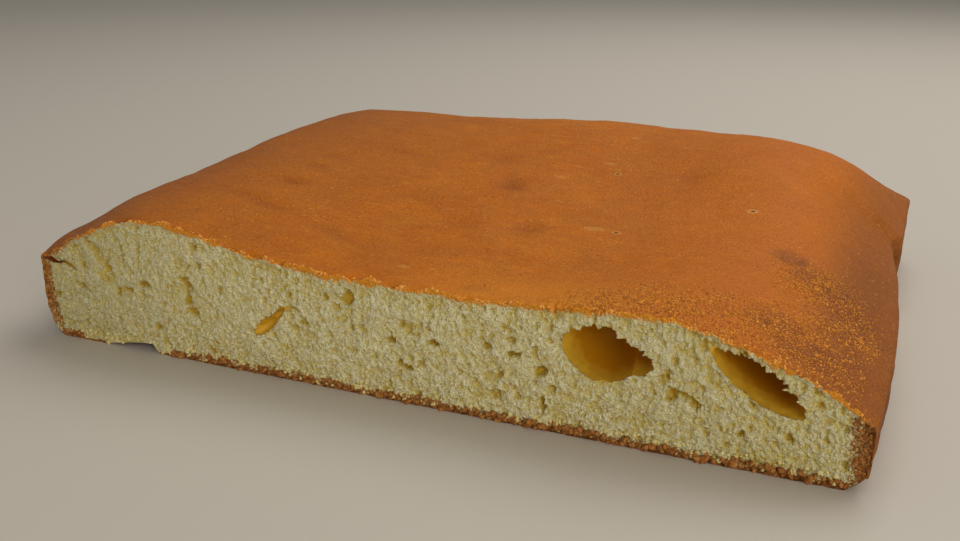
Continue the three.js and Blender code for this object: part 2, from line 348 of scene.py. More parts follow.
def place(u, v, w):
    """Where the points of the unit block go: u across, v into the depth, w up. Returns millimetres."""
    across = u - CROWDING * np.sin(2 * np.pi * u) / (2 * np.pi)
    lift = w ** STEP_GROWTH
    inset = FOOT_INSET * (1 - lift) ** FOOT_SHARPNESS
    back_edge = DEPTH - inset
    y = v * back_edge
    left = LIP_X + inset
    right = right_side(y) - inset
    x = left + (right - left) * across
    z = lift * crown(x, y)
    lx, ly = round_corner(x, y, left, back_edge, CORNER_LEFT, -1)
    rx, ry = round_corner(x, y, right, back_edge, CORNER_RIGHT, 1)
    on_left = x < (left + right) / 2
    return np.stack([np.where(on_left, lx, rx), np.where(on_left, ly, ry), z], axis=1)


# ---- helpers -----------------------------------------------------------------
def select_nothing():
    if bpy.context.mode != "OBJECT":
        bpy.ops.object.mode_set(mode="OBJECT")
    bpy.ops.object.select_all(action="DESELECT")


def work_on(piece):
    select_nothing()
    piece.select_set(True)
    bpy.context.view_layer.objects.active = piece


def edit(piece):
    """Into edit mode, with all of the piece selected."""
    work_on(piece)
    bpy.ops.object.mode_set(mode="EDIT")
    bpy.ops.mesh.select_all(action="SELECT")


def points_of(piece):
    co = np.empty(len(piece.data.vertices) * 3)
    piece.data.vertices.foreach_get("co", co)
    return co.reshape(-1, 3)


def set_points(piece, co):
    piece.data.vertices.foreach_set("co", np.ascontiguousarray(co).ravel())
    piece.data.update()


def in_cake(co):
    """Object coordinates in metres to millimetres on the cake."""
    return (co - np.array(ORIGIN)) / MM


def in_frame(mm):
    return mm * MM + np.array(ORIGIN)


def pick_faces(piece, wanted):
    """In edit mode, selects the faces whose middle and normal wanted() accepts."""
    mesh = bmesh.from_edit_mesh(piece.data)
    bpy.ops.mesh.select_all(action="DESELECT")
    for face in mesh.faces:
        face.select_set(wanted(face.calc_center_median(), face.normal))
    mesh.select_flush(True)
    bmesh.update_edit_mesh(piece.data)


def weight(piece, name, values):
    """A vertex group with one weight for each point."""
    made = piece.vertex_groups.new(name=name)
    steps = np.round(np.clip(values, 0, 1) * WEIGHT_STEPS).astype(int)
    for step in np.unique(steps):
        if step:
            made.add(np.flatnonzero(steps == step).tolist(), float(step) / WEIGHT_STEPS, "REPLACE")


def texture(name, kind, size, **settings):
    made = bpy.data.textures.new(name, kind)
    made.noise_scale = size
    for key, value in settings.items():
        setattr(made, key, value)
    return made


def relief(piece, name, pattern, height, zone, direction="NORMAL", middle=0.5):
    """Raises and sinks the points by a pattern, height in millimetres, and makes it part of the mesh."""
    work_on(piece)
    step = piece.modifiers.new(name, "DISPLACE")
    step.texture = pattern
    step.texture_coords = "LOCAL"
    step.direction = direction
    step.strength = height * MM
    step.mid_level = middle
    step.vertex_group = zone
    bpy.ops.object.modifier_apply(modifier=step.name)


# ---- finishes ----------------------------------------------------------------
def add(tree, kind, values=None, **settings):
    """A node with its settings made and its inputs filled, by a value or by another node's output."""
    made = tree.nodes.new(kind)
    for key, value in settings.items():
        setattr(made, key, value)
    for name, value in (values or {}).items():
        if isinstance(value, bpy.types.NodeSocket):
            tree.links.new(value, made.inputs[name])
        else:
            made.inputs[name].default_value = value
    return made


def maths(tree, operation, a, b=0.0, c=0.0, clamp=False):
    return add(tree, "ShaderNodeMath", {0: a, 1: b, 2: c}, operation=operation, use_clamp=clamp).outputs[0]


def ramp(tree, value, low_end, high_end, to_low=0.0, to_high=1.0):
    """The value's stretch from low_end to high_end, eased, put on a new scale."""
    return add(tree, "ShaderNodeMapRange", {
        "Value": value, "From Min": low_end, "From Max": high_end, "To Min": to_low, "To Max": to_high,
    }, interpolation_type="SMOOTHSTEP").outputs[0]


def times(tree, a, b):
    return maths(tree, "MULTIPLY", a, b)


def scaled(tree, value, by, plus, clamp=False):
    """The value times by, with plus added."""
    return maths(tree, "MULTIPLY_ADD", value, by, plus, clamp)


def axis(tree, vector, letter):
    return add(tree, "ShaderNodeSeparateXYZ", {"Vector": vector}).outputs[letter]


def mixed(tree, factor, a, b):
    return add(tree, "ShaderNodeMix", {0: factor, 6: a, 7: b}, data_type="RGBA").outputs[2]


def raised(tree, shader, height, strength, distance):
    """Fine relief by bump, its distance in millimetres."""
    bump = add(tree, "ShaderNodeBump", {"Strength": strength, "Distance": distance * MM, "Height": height})
    tree.links.new(bump.outputs[0], shader.inputs["Normal"])


def node_group(name, inputs, outputs):
    """An empty node group with named sockets, and its two ends."""
    tree = bpy.data.node_groups.new(name, "ShaderNodeTree")
    for label, kind, value in inputs:
        socket = tree.interface.new_socket(label, in_out="INPUT", socket_type=kind)
        if value is not None:
            socket.default_value = value
    for label, kind in outputs:
        tree.interface.new_socket(label, in_out="OUTPUT", socket_type=kind)
    return tree, tree.nodes.new("NodeGroupInput"), tree.nodes.new("NodeGroupOutput")


def use(tree, made, values):
    return add(tree, "ShaderNodeGroup", values, node_tree=made)


FLOAT, VECTOR = "NodeSocketFloat", "NodeSocketVector"


def mottle_group():
    """Soft patches: a noise pushed apart to light and dark."""
    tree, start, end = node_group(
        "mottle",
        [("Vector", VECTOR, None), ("Size", FLOAT, 10.0), ("Detail", FLOAT, 3.0), ("Spread", FLOAT, 0.2)],
        [("Patches", FLOAT)],
    )
    scale = maths(tree, "DIVIDE", 1.0, start.outputs["Size"])
    cloud = add(tree, "ShaderNodeTexNoise", {
        "Vector": start.outputs["Vector"], "Scale": scale, "Detail": start.outputs["Detail"],
        "Roughness": 0.55,
    })
    low_end = maths(tree, "SUBTRACT", 0.5, start.outputs["Spread"])
    high_end = maths(tree, "ADD", 0.5, start.outputs["Spread"])
    tree.links.new(ramp(tree, cloud.outputs[0], low_end, high_end), end.inputs["Patches"])
    return tree


def grain_group():
    """Small grains, and a mask of the spaces between them, which the finishes paint dark as shade."""
    tree, start, end = node_group(
        "grain",
        [("Vector", VECTOR, None), ("Size", FLOAT, 0.8)],
        [("Height", FLOAT), ("Gaps", FLOAT)],
    )
    scale = maths(tree, "DIVIDE", 1.0, start.outputs["Size"])
    warp = add(tree, "ShaderNodeTexNoise", {"Vector": start.outputs["Vector"], "Scale": scale, "Detail": 2.0})
    push = add(tree, "ShaderNodeVectorMath", {0: warp.outputs["Color"], 3: 0.6}, operation="SCALE")
    moved = add(tree, "ShaderNodeVectorMath", {0: start.outputs["Vector"], 1: push.outputs[0]},
                operation="ADD")
    cells = add(tree, "ShaderNodeTexVoronoi", {"Vector": moved.outputs[0], "Scale": scale, "Randomness": 1.0},
                feature="F1")
    height = maths(tree, "SUBTRACT", 1.0, cells.outputs["Distance"])
    tree.links.new(height, end.inputs["Height"])
    tree.links.new(ramp(tree, cells.outputs["Distance"], 0.45, 0.8), end.inputs["Gaps"])
    return tree


def spot_group():
    """1 inside a flat oval round a place, 0 outside, with a soft border."""
    tree, start, end = node_group(
        "spot",
        [("Vector", VECTOR, None), ("Centre", VECTOR, None), ("Stretch", VECTOR, None),
         ("Radius", FLOAT, 1.0), ("Border", FLOAT, 0.5)],
        [("Mask", FLOAT)],
    )
    away = add(tree, "ShaderNodeVectorMath", {0: start.outputs["Vector"], 1: start.outputs["Centre"]},
               operation="SUBTRACT")
    flat = add(tree, "ShaderNodeVectorMath", {0: away.outputs[0], 1: start.outputs["Stretch"]},
               operation="MULTIPLY")
    far = add(tree, "ShaderNodeVectorMath", {0: flat.outputs[0]}, operation="LENGTH")
    limit = maths(tree, "ADD", start.outputs["Radius"], start.outputs["Border"])
    mask = ramp(tree, far.outputs["Value"], start.outputs["Radius"], limit, 1.0, 0.0)
    tree.links.new(mask, end.inputs["Mask"])
    return tree


MOTTLE, GRAIN, SPOT = mottle_group(), grain_group(), spot_group()


def mottle(tree, vector, size, detail, spread):
    values = {"Vector": vector, "Size": size, "Detail": detail, "Spread": spread}
    return use(tree, MOTTLE, values).outputs[0]


def new_finish(name, colour):
    """A material, its tree, its Principled shader and the place on the cake in millimetres."""
    made = bpy.data.materials.new(name)
    made.use_nodes = True
    made.diffuse_color = colour
    tree = made.node_tree
    shader = tree.nodes["Principled BSDF"]
    where = add(tree, "ShaderNodeTexCoord").outputs["Object"]
    on_cake = add(tree, "ShaderNodeMapping", {
        "Vector": where, "Location": tuple(-ORIGIN / MM), "Scale": (1 / MM,) * 3,
    })
    return made, tree, shader, on_cake.outputs[0]


def read(tree, name):
    return add(tree, "ShaderNodeAttribute", attribute_name=name).outputs["Fac"]


def spots(tree, place_mm, rows, stretch=(1, 1)):
    """The strongest of several spot masks; a row is x, y, radius and border."""
    found = None
    for x, y, radius, border in rows:
        mask = use(tree, SPOT, {
            "Vector": place_mm, "Centre": (x, y, 0), "Stretch": (*stretch, 0), "Radius": radius,
            "Border": border,
        }).outputs["Mask"]
        found = mask if found is None else maths(tree, "MAXIMUM", found, mask)
    return found


def crust_finish():
    """The baked skin: orange brown with fine streaks, freckles and painted glints, browner at the ends,
    partly as painted shade, and browner down the sides.
    """
    made, tree, shader, at = new_finish("baked_crust", GOLD)
    broad = mottle(tree, at, *CRUST_PATTERN["broad"])
    patch = mottle(tree, at, *CRUST_PATTERN["patch"])
    fine = mottle(tree, at, *CRUST_PATTERN["fine"])
    wide = add(tree, "ShaderNodeMapping", {"Vector": at, "Scale": STREAK_SHAPE}).outputs[0]
    streak = mottle(tree, wide, *CRUST_PATTERN["streak"])
    pale_streak = mottle(tree, wide, *CRUST_PATTERN["pale_streak"])
    freckle = mottle(tree, at, *CRUST_PATTERN["freckle"])
    colour = mixed(tree, times(tree, broad, 0.75), GOLD, AMBER)
    colour = mixed(tree, times(tree, patch, 0.5), colour, TAN)
    colour = mixed(tree, times(tree, streak, 0.27), colour, BROWN)
    colour = mixed(tree, ramp(tree, pale_streak, 0.64, 0.85, 0.0, 0.40), colour, HONEY)
    colour = mixed(tree, times(tree, fine, 0.45), colour, AMBER)
    # the left end is browner, and a strip along the right rim browner still: partly baked browning, partly
    # painted shade where the crown falls away from the overhead light
    across = axis(tree, at, "X")
    into = axis(tree, at, "Y")
    right = ramp(tree, across, *ZONE["right_rim"], 0.0, 0.9)
    right = times(tree, right, ramp(tree, into, *ZONE["right_front"], 0.7, 1.0))
    ends = maths(tree, "MAXIMUM", ramp(tree, across, *ZONE["left_end"], 0.0, 0.62), right)
    colour = mixed(tree, ramp(tree, across, *ZONE["sunny"], 0.0, 0.50), colour, SUNNY)
    colour = mixed(tree, ends, colour, BROWN)
    # the right end and the back rim are darker still: partly browned crust, partly painted shade where the
    # crust turns away from the light
    burnt_and_shaded = times(tree, ramp(tree, across, *ZONE["burnt_and_shaded"]), ramp(tree, into, *ZONE["burnt_and_shaded_front"]))
    burnt_and_shaded = maths(tree, "MAXIMUM", burnt_and_shaded, ramp(tree, into, *ZONE["back_edge"], 0.0, 0.6))
    colour = mixed(tree, burnt_and_shaded, colour, CHESTNUT)
    # golden in a strip behind the cut
    strip = times(tree, ramp(tree, into, *ZONE["strip"], 0.0, 0.42), ramp(tree, across, *ZONE["strip_left"]))
    strip = times(tree, strip, ramp(tree, across, *ZONE["strip_right"]))
    colour = mixed(tree, strip, colour, HONEY)
    # browner toward the rims, in dark patches over the right end, where the skin sinks, and down the flanks
    rim = times(tree, read(tree, "rim"), scaled(tree, patch, 0.30, 0.70))
    colour = mixed(tree, rim, colour, BROWN)
    dark = spots(tree, at, DARK_PATCHES)
    broken = mottle(tree, at, *CRUST_PATTERN["broken"])
    dark = times(tree, dark, scaled(tree, broken, 0.6, 0.4))
    colour = mixed(tree, times(tree, dark, 0.75), colour, CHESTNUT)
    colour = mixed(tree, times(tree, read(tree, "hollow"), 0.50), colour, REDDISH)
    flank = read(tree, "flank")
    uneven = mottle(tree, at, *CRUST_PATTERN["uneven"])
    side = mixed(tree, uneven, SIDE_BROWN, SIDE_LIGHT)
    colour = mixed(tree, flank, colour, side)
    # dark freckles, light specks that are painted glints, and the pale rings that burst bubbles leave, with
    # painted shade for the hole in their middle
    colour = mixed(tree, ramp(tree, freckle, 0.27, 0.17, 0.0, 0.55), colour, CHESTNUT)
    colour = mixed(tree, ramp(tree, freckle, 0.74, 0.84, 0.0, 0.50), colour, GLINT)
    colour = mixed(tree, times(tree, spots(tree, at, PALE_FLECKS, (0.55, 1)), 0.3), colour, PALE)
    colour = mixed(tree, times(tree, spots(tree, at, BURSTS, BURST_SHAPE), 0.45), colour, PALE)
    hole_shade = spots(tree, at, [(x, y, *BURST_HOLE_SHADE) for x, y, _, _ in BURSTS], BURST_SHAPE)
    colour = mixed(tree, hole_shade, colour, PAINTED_HOLE_SHADE)
    # grains: painted glints on their raised tops and painted shade between them, strong in the front right
    # zone, faint elsewhere
    zone = spots(tree, at, GRAINY_ZONE)
    zone = times(tree, zone, scaled(tree, broken, 0.7, 0.3))
    long = add(tree, "ShaderNodeMapping", {"Vector": at, "Scale": GRAIN_SHAPE}).outputs[0]
    grain = use(tree, GRAIN, {"Vector": long, "Size": CRUST_GRAIN}).outputs
    glint = ramp(tree, grain["Height"], 0.62, 0.80)
    glint = times(tree, scaled(tree, zone, 0.42, 0.14), glint)
    colour = mixed(tree, glint, colour, GLINT)
    gap_shade = times(tree, scaled(tree, zone, 0.45, 0.16), grain["Gaps"])
    colour = mixed(tree, gap_shade, colour, CHESTNUT)
    tree.links.new(colour, shader.inputs["Base Color"])
    rough = scaled(tree, patch, 0.10, 0.46)
    rough = scaled(tree, flank, 0.25, rough)
    tree.links.new(rough, shader.inputs["Roughness"])
    lift = times(tree, grain["Height"], scaled(tree, zone, 1.6, 0.22))
    lift = scaled(tree, fine, 0.35, lift)
    lift = scaled(tree, freckle, 0.9, lift)
    lift = scaled(tree, streak, 0.8, lift)
    lift = scaled(tree, times(tree, uneven, flank), 1.6, lift)
    raised(tree, shader, lift, strength=0.55, distance=0.35)
    shader.inputs["Specular IOR Level"].default_value = 0.08
    return made


def crumb_finish():
    """The open crumb: pale yellow grains, painted paler where raised and yellower where sunk as highlight and
    shade, ochre in the holes with painted shade further in, and the cut edge of the skin round it.
    """
    made, tree, shader, at = new_finish("open_crumb", CREAM)
    sunk, inside, deep, skin = (read(tree, name) for name in ("sunk", "inside", "deep", "skin"))
    broad = mottle(tree, at, *CRUMB_PATTERN["broad"])
    blots = mottle(tree, at, *CRUMB_PATTERN["blots"])
    small = mottle(tree, at, *CRUMB_PATTERN["small"])
    grain = use(tree, GRAIN, {"Vector": at, "Size": CRUMB_GRAIN}).outputs
    colour = mixed(tree, times(tree, broad, 0.55), CREAM, STRAW)
    colour = mixed(tree, times(tree, blots, 0.50), colour, STRAW)
    rosy = mottle(tree, at, *CRUMB_PATTERN["rosy"])
    colour = mixed(tree, times(tree, rosy, 0.35), colour, ROSE)
    # partly random tone, partly painted highlight: the crumb is painted paler where the bump raises it
    colour = mixed(tree, times(tree, small, 0.75), colour, MILK)
    highlight_tips = mottle(tree, at, *CRUMB_PATTERN["highlight_tips"])
    colour = mixed(tree, times(tree, highlight_tips, 0.35), colour, MILK)
    # painted shade: both ends of the cut are painted a little darker
    across = axis(tree, at, "X")
    painted_shade_left = ramp(tree, across, *ZONE["painted_shade_left"], 0.0, 0.50)
    painted_shade_right = ramp(tree, across, *ZONE["painted_shade_right"], 0.0, 0.30)
    painted_end_shade = maths(tree, "ADD", painted_shade_left, painted_shade_right)
    colour = mixed(tree, painted_end_shade, colour, PAINTED_SHADE)
    # painted shade in small pits and between the grains, more of it in the lower half
    height = axis(tree, at, "Z")
    share = ramp(tree, height, *ZONE["gap_shade"], 0.75, 0.35)
    holes = mottle(tree, at, *CRUMB_PATTERN["holes"])
    gap_shade = times(tree, ramp(tree, holes, 0.42, 0.30, 0.0, 1.0), share)
    gap_shade = maths(tree, "MAXIMUM", gap_shade, times(tree, grain["Gaps"], 0.20))
    colour = mixed(tree, gap_shade, colour, OLIVE)
    # painted shade: the deeper a point lies, the yellower and darker it is painted, for the light the crumb
    # lets through
    colour = mixed(tree, ramp(tree, sunk, 0.16, 0.40), colour, STRAW)
    colour = mixed(tree, ramp(tree, sunk, 0.34, 0.80), colour, OLIVE)
    # the walls of bubbles and holes: their own moist ochre, with painted shade that darkens them further back
    wall = mixed(tree, scaled(tree, blots, 0.25, deep, clamp=True), PIT, SHADED_OCHRE)
    wall = mixed(tree, ramp(tree, across, *ZONE["slit"]), wall, RUST)
    colour = mixed(tree, inside, colour, wall)
    # the cut edge of the skin: a thin golden line on top, a grainy brown band below and at the ends, with
    # painted shade between its grains
    uneven = scaled(tree, small, 0.55, times(tree, grain["Gaps"], 0.4))
    edge = ramp(tree, maths(tree, "SUBTRACT", skin, uneven), 0.15, 0.80, 1.0, 0.0)
    band = mixed(tree, small, BAND_DARK, BAND_LIGHT)
    band = mixed(tree, times(tree, grain["Gaps"], 0.5), band, BAND_DARK)
    band = mixed(tree, ramp(tree, across, *ZONE["dark_band"], 0.0, 0.45), band, BAND_DARK)
    band = mixed(tree, read(tree, "upper"), band, BAND_GOLD)
    colour = mixed(tree, times(tree, edge, maths(tree, "SUBTRACT", 1.0, inside)), colour, band)
    tree.links.new(colour, shader.inputs["Base Color"])
    rough = scaled(tree, inside, -0.40, 0.85)
    tree.links.new(rough, shader.inputs["Roughness"])
    lift = scaled(tree, small, 0.7, grain["Height"])
    lift = scaled(tree, highlight_tips, 0.3, lift)
    lift = times(tree, lift, scaled(tree, inside, -0.95, 1.0))
    raised(tree, shader, lift, strength=1.0, distance=0.6)
    shader.inputs["Specular IOR Level"].default_value = 0.25
    shader.subsurface_method = "BURLEY"
    shader.inputs["Subsurface Weight"].default_value = 0.35
    shader.inputs["Subsurface Radius"].default_value = (1.0, 0.8, 0.35)
    shader.inputs["Subsurface Scale"].default_value = 1.2 * MM
    return made


def loose_finish(name, light, dark):
    made, tree, shader, at = new_finish(name, light)
    small = mottle(tree, at, *LOOSE_PATTERN)
    colour = mixed(tree, small, light, dark)
    tree.links.new(colour, shader.inputs["Base Color"])
    grain = use(tree, GRAIN, {"Vector": at, "Size": LOOSE_GRAIN}).outputs["Height"]
    raised(tree, shader, grain, strength=0.5, distance=0.2)
    shader.inputs["Roughness"].default_value = 0.75
    shader.inputs["Specular IOR Level"].default_value = 0.15
    return made


def floor_finish():
    made = bpy.data.materials.new("pale_floor")
    made.use_nodes = True
    shader = made.node_tree.nodes["Principled BSDF"]
    shader.inputs["Base Color"].default_value = FLOOR_COLOUR
    shader.inputs["Roughness"].default_value = 0.6
    return made


CRUST, CRUMB = crust_finish(), crumb_finish()


# ---- the body ----------------------------------------------------------------
def unit_block():
    """A unit block of square faces: a grid pulled up step by step, finer where it will be cut."""
    select_nothing()
    bpy.ops.mesh.primitive_grid_add(
        x_subdivisions=ACROSS, y_subdivisions=INTO, size=1, location=(0.5, 0.5, 0)
    )
    block = bpy.context.object
    bpy.ops.object.transform_apply(location=True)
    edit(block)
    for _ in range(UP):
        bpy.ops.mesh.extrude_region_move(TRANSFORM_OT_translate={"value": (0, 0, 1 / UP)})
    bpy.ops.mesh.select_all(action="SELECT")
    bpy.ops.mesh.normals_make_consistent(inside=False)
    pick_faces(block, lambda c, n: n.z < -0.5)
    bpy.ops.mesh.select_less()
    bpy.ops.mesh.decimate(ratio=BASE_KEPT)
    for rows in FINE_ROWS:
        pick_faces(block, lambda c, n: c.y < rows / INTO and n.z > -0.5)
        bpy.ops.mesh.subdivide(number_cuts=1)
    bpy.ops.object.mode_set(mode="OBJECT")
    return block


def rounded_body():
    body = unit_block()
    body.name = body.data.name = "semolina_cake"
    for finish in (CRUST, CRUMB):
        body.data.materials.append(finish)
    front = np.array([p.normal.y < -0.9 for p in body.data.polygons])
    body.data.polygons.foreach_set("material_index", front.astype(np.int32))
    co = points_of(body)
    set_points(body, in_frame(place(co[:, 0], co[:, 1], clamp01(co[:, 2]))))
    return body


# ---- bubbles and the crease under the base -----------------------------------
def egg(name, x, z, long, high, deep, tilt, taper, ragged, fine):
    """A smooth egg on the plane of the cut, its rim torn by a noise where the cut crosses it."""
    select_nothing()
    bpy.ops.mesh.primitive_uv_sphere_add(segments=fine, ring_count=max(fine // 3, 8), radius=1)
    made = bpy.context.object
    made.name = name
    for finish in (CRUST, CRUMB):
        made.data.materials.append(finish)
    made.data.polygons.foreach_set("material_index", [1] * len(made.data.polygons))
    edit(made)
    bpy.ops.transform.rotate(value=math.pi / 2, orient_axis="X", center_override=(0, 0, 0))
    bpy.ops.transform.resize(value=(long * MM, deep * MM, high * MM), center_override=(0, 0, 0))
    bpy.ops.object.mode_set(mode="OBJECT")
    co = points_of(made) / MM
    slim = 1 - taper * (co[:, 0] / long) ** 2
    turn = math.radians(tilt)
    lie_x, lie_z = co[:, 0], co[:, 2] * slim
    rag_places = [Vector((px, 0.2 * py, pz)) / RAGGED_SIZE for px, py, pz in co]
    torn = np.array([noise.noise(spot) for spot in rag_places])
    torn += FINER["share"] * np.array([noise.noise(spot * FINER["size"]) for spot in rag_places])
    hanging = RAGGED_BELOW + (1 - RAGGED_BELOW) * smooth(0.5 + lie_z / high)
    reach = np.exp(-np.abs(co[:, 1]) / RAGGED_REACH) / np.maximum(np.hypot(lie_x, lie_z), 1)
    grow = 1 + ragged * hanging * torn * reach
    lie_x, lie_z = lie_x * grow, lie_z * grow
    co = np.stack([
        x + lie_x * math.cos(turn) - lie_z * math.sin(turn),
        co[:, 1] * slim,
        z + lie_x * math.sin(turn) + lie_z * math.cos(turn),
    ], axis=1)
    set_points(made, in_frame(co))
    return made


def cut_out(piece, cutter):
    """Takes the cutter's shape out of the piece, and the cutter away."""
    edit(cutter)
    bpy.ops.mesh.normals_make_consistent(inside=False)
    bpy.ops.object.mode_set(mode="OBJECT")
    work_on(piece)
    step = piece.modifiers.new("opening", "BOOLEAN")
    step.operation = "DIFFERENCE"
    step.object = cutter
    step.solver = "MANIFOLD"
    bpy.ops.object.modifier_apply(modifier=step.name)
    bpy.data.objects.remove(cutter)


def open_bubbles(piece):
    for index, row in enumerate(BUBBLES):
        cut_out(piece, egg(f"bubble_{index}", *row))
    edit(piece)
    bpy.ops.mesh.remove_doubles(threshold=MERGE * MM)
    # points that only bend an edge between two faces would split those faces into a fold
    bpy.ops.mesh.select_mode(type="VERT")
    for _ in range(2):
        mesh = bmesh.from_edit_mesh(piece.data)
        bpy.ops.mesh.select_all(action="DESELECT")
        for point in mesh.verts:
            point.select_set(len(point.link_edges) == 2)
        bmesh.update_edit_mesh(piece.data)
        bpy.ops.mesh.dissolve_verts()
    bpy.ops.mesh.select_mode(type="FACE")
    bpy.ops.object.mode_set(mode="OBJECT")


def press_crease(piece):
    """A crease of the lining lifted the lower edge: slowly from the left, with a steep step on the right."""
    mm = in_cake(points_of(piece))
    x, y, z = mm.T
    left, right = CREASE["x"] - CREASE["width"], CREASE["x"] + CREASE["width"] / 2
    top = right - CREASE["step"]
    across = smooth((x - left) / (top - left)) * (1 - smooth((x - top) / CREASE["step_run"]))
    along = np.sqrt(np.maximum(1 - (y / CREASE["length"]) ** 2, 0)) * (y < CREASE["length"])
    mm[:, 2] += CREASE["height"] * across * along * (1 - smooth(z / CREASE["fade"]))
    set_points(piece, in_frame(mm))


# ---- relief of the crust -----------------------------------------------------
def sides_of(piece):
    """For each point: is it on an open crumb face, is it on a crust face, and its mean normal."""
    mesh = piece.data
    loops = np.empty(len(mesh.loops), dtype=np.int32)
    mesh.loops.foreach_get("vertex_index", loops)
    slots = np.empty(len(mesh.polygons), dtype=np.int32)
    mesh.polygons.foreach_get("material_index", slots)
    sizes = np.empty(len(mesh.polygons), dtype=np.int32)
    mesh.polygons.foreach_get("loop_total", sizes)
    slot_of_loop = np.repeat(slots, sizes)
    crumb = np.zeros(len(mesh.vertices), dtype=bool)
    crust = np.zeros(len(mesh.vertices), dtype=bool)
    crumb[loops[slot_of_loop == 1]] = True
    crust[loops[slot_of_loop == 0]] = True
    normals = np.empty(len(mesh.vertices) * 3)
    mesh.vertices.foreach_get("normal", normals)
    return crumb, crust, normals.reshape(-1, 3)


def shape_crust(piece):
    """Swells, ripples, wrinkles and dimples of the baked skin. Returns how far the dimples sink a point."""
    crumb, crust, normals = sides_of(piece)
    mm = in_cake(points_of(piece))
    upward = smooth((normals[:, 2] - UPWARD["start"]) / UPWARD["run"]) * crust
    sideways = smooth((SIDEWAYS["end"] - np.abs(normals[:, 2])) / SIDEWAYS["run"]) * crust * ~crumb
    weight(piece, "top", upward)
    weight(piece, "side", sideways * smooth(mm[:, 1] / SIDE_START))
    for name, size, layers, height, zone, middle in CRUST_RELIEFS:
        relief(piece, name, texture(name, "CLOUDS", size, noise_depth=layers), height, zone, middle=middle)
    mm = in_cake(points_of(piece))
    sink = np.zeros(len(mm))
    for x, y, across, along, depth, turn in DIMPLES:
        c, s = math.cos(math.radians(turn)), math.sin(math.radians(turn))
        dx, dy = mm[:, 0] - x, mm[:, 1] - y
        a = (dx * c + dy * s) / across
        b = (-dx * s + dy * c) / along
        sink += depth * np.exp(-a * a - b * b)
    mm[:, 2] -= sink * upward
    set_points(piece, in_frame(mm))
    return sink * upward


# ---- relief of the open crumb ------------------------------------------------
def pores(seed):
    """Seeded places, sizes and slants of the pores in the cut: most are small, a few wide."""
    draw = random.Random(seed)
    rows = []
    for _ in range(PORES["many"]):
        grown = math.exp(abs(draw.gauss(0, PORES["spread"])))
        radius = min(PORES["radius"] * grown, PORES["largest"])
        rows.append((
            draw.uniform(-4, 264), draw.uniform(1.5, 46), radius,
            radius * draw.uniform(0.6, 1.0), draw.uniform(0, math.pi), draw.uniform(0.5, 1.0),
        ))
    return rows


def press_pores(piece):
    """Pushes the pores into the cut face: named holes where they are seen, seeded ones between them."""
    crumb, crust, _ = sides_of(piece)
    mm = in_cake(points_of(piece))
    flat = np.flatnonzero(crumb & ~crust & (mm[:, 1] < 0.05))
    flat = flat[np.argsort(mm[flat, 0])]
    x, z = mm[flat, 0], mm[flat, 2]
    wobble = np.array([
        noise.noise(Vector((a * 0.8, 3.1, b * 0.8))) + 0.6 * noise.noise(Vector((a * 2, 5.2, b * 2)))
        for a, b in zip(x, z)
    ])
    depth = np.zeros(len(flat))
    named = [(a, b, long, high, math.radians(turn), deep) for a, b, long, high, turn, deep in HOLES]
    for a, b, long, high, turn, deep in pores(11) + named:
        i, j = np.searchsorted(x, (a - PORE_REACH * long, a + PORE_REACH * long))
        dx, dz = x[i:j] - a, z[i:j] - b
        along = (dx * math.cos(turn) + dz * math.sin(turn)) / long
        over = (-dx * math.sin(turn) + dz * math.cos(turn)) / high
        r = along * along + over * over + PORE_RAGGED * wobble[i:j]
        dip = deep * min(long, PORE_DEEPEST) * np.sqrt(np.maximum(1 - r, 0)) ** 0.8
        depth[i:j] = np.maximum(depth[i:j], dip)
    depth *= smooth((cut_top(x) - z - PORE_CLEAR["top"]) / PORE_CLEAR["top_run"])
    depth *= smooth((z - PORE_CLEAR["base"]) / PORE_CLEAR["base_run"])
    mm[flat, 1] += depth
    set_points(piece, in_frame(mm))


def shape_crumb(piece, walls):
    """Pores, hollows, clumps and granules. walls: how deep a point lies in an opened bubble, whose wall
    stays smooth."""
    press_pores(piece)
    crumb, crust, _ = sides_of(piece)
    mm = in_cake(points_of(piece))
    inner = crumb & ~crust
    under_skin = cut_top(mm[:, 0]) - mm[:, 2]
    below = smooth((under_skin - UNDER_SKIN["start"]) / UNDER_SKIN["run"])
    inner = inner * (UNDER_SKIN["least"] + (1 - UNDER_SKIN["least"]) * below)
    fade = 1 - smooth((walls - ON_WALL["start"]) / ON_WALL["run"])
    weight(piece, "open", inner * (ON_WALL["least"] + (1 - ON_WALL["least"]) * fade))
    weight(piece, "hollows", inner * fade)
    strands = smooth((mm[:, 2] - cut_top(mm[:, 0]) + STRANDS["below"]) / STRANDS["run"])
    strands *= smooth((mm[:, 0] - STRANDS["start"]) / STRANDS["start_run"])
    for name, kind, size, settings, height, zone, direction, middle in CRUMB_RELIEFS:
        relief(piece, name, texture(name, kind, size, **settings), height, zone, direction, middle)
    mm = in_cake(points_of(piece))
    for i in np.flatnonzero((inner > 0) & (strands > 0.02) & (fade > 0.02)):
        x, _, z = mm[i]
        wave = noise.noise(Vector((x / STRANDS["wide"], 5.0, z / STRANDS["tall"]))) + STRANDS["more"]
        mm[i, 1] += STRANDS["deep"] * strands[i] * fade[i] * inner[i] * wave
    set_points(piece, in_frame(mm))


